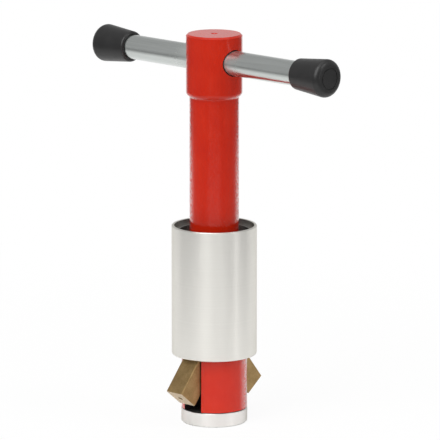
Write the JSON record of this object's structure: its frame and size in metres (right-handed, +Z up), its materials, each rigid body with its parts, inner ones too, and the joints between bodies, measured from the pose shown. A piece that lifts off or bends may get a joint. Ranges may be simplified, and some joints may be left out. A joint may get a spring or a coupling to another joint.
{
  "type": "bearing drive-out tool",
  "caption": "T-handled striking tool with sprung swing-out jaws, a sliding sleeve and a round foot disc, for driving bicycle bearings or cups out of a frame.",
  "frame": {"origin": "middle of the foot disc's underside, on the spindle's axis", "axes": "+Z up the spindle to the struck end, X along the cross bar, Y across the two jaws"},
  "size_m": [0.14, 0.0512, 0.1755],
  "materials": {
    "red_coat": "fine orange-peel powder coat on steel",
    "turned_aluminium": "fine turned",
    "jaw_bronze": "dull milled bronze",
    "chrome_bar": "polished plate",
    "cap_rubber": "satin moulded",
    "bright_steel": "ground",
    "black_steel": "black oxide",
    "bush_plastic": "plain moulded"
  },
  "bodies": {
    "frame": {"spindle": "red_coat", "jaw_head": "red_coat", "head_set_screw": "black_steel", "pilot_disc": "turned_aluminium", "disc_screws": "black_steel", "front_pivot_pin": "bright_steel", "rear_pivot_pin": "bright_steel", "jaw_spring": "bright_steel"},
    "front_jaw": {"front_jaw": "jaw_bronze"},
    "rear_jaw": {"rear_jaw": "jaw_bronze"},
    "plunger": {"plunger": "bright_steel"},
    "sleeve": {"guide_sleeve": "turned_aluminium", "sleeve_bush": "bush_plastic"},
    "handle": {"cross_bar": "chrome_bar", "left_cap": "cap_rubber", "right_cap": "cap_rubber"}
  },
  "joints": [
    {"name": "jaw_fold", "type": "hinge", "parent": "frame", "child": "front_jaw", "pos_m": [0, -0.0059, 0.0328], "axis": [1, 0, 0], "range_deg": [0, 38.8], "stiffness_Nm_per_rad": 0.03, "springref_deg": -85.94},
    {"name": "rear_jaw_fold", "type": "hinge", "parent": "frame", "child": "rear_jaw", "pos_m": [0, 0.0059, 0.0328], "axis": [-1, 0, 0], "range_deg": [0, 38.8]},
    {"name": "plunger_slide", "type": "slide", "parent": "frame", "child": "plunger", "axis": [0, 0, 1], "range_m": [0, 0.00376], "deforming": ["jaw_spring"]},
    {"name": "sleeve_slide", "type": "slide", "parent": "frame", "child": "sleeve", "axis": [0, 0, 1], "range_m": [0, 0.0644]},
    {"name": "handle_slide", "type": "slide", "parent": "frame", "child": "handle", "axis": [1, 0, 0], "range_m": [-0.0384, 0.0384]}
  ],
  "couplings": [
    {"joint": "rear_jaw_fold", "follows": "jaw_fold", "ratio": 1},
    {"joint": "plunger_slide", "follows": "jaw_fold", "m_per_rad": 0.0055416}
  ]
}
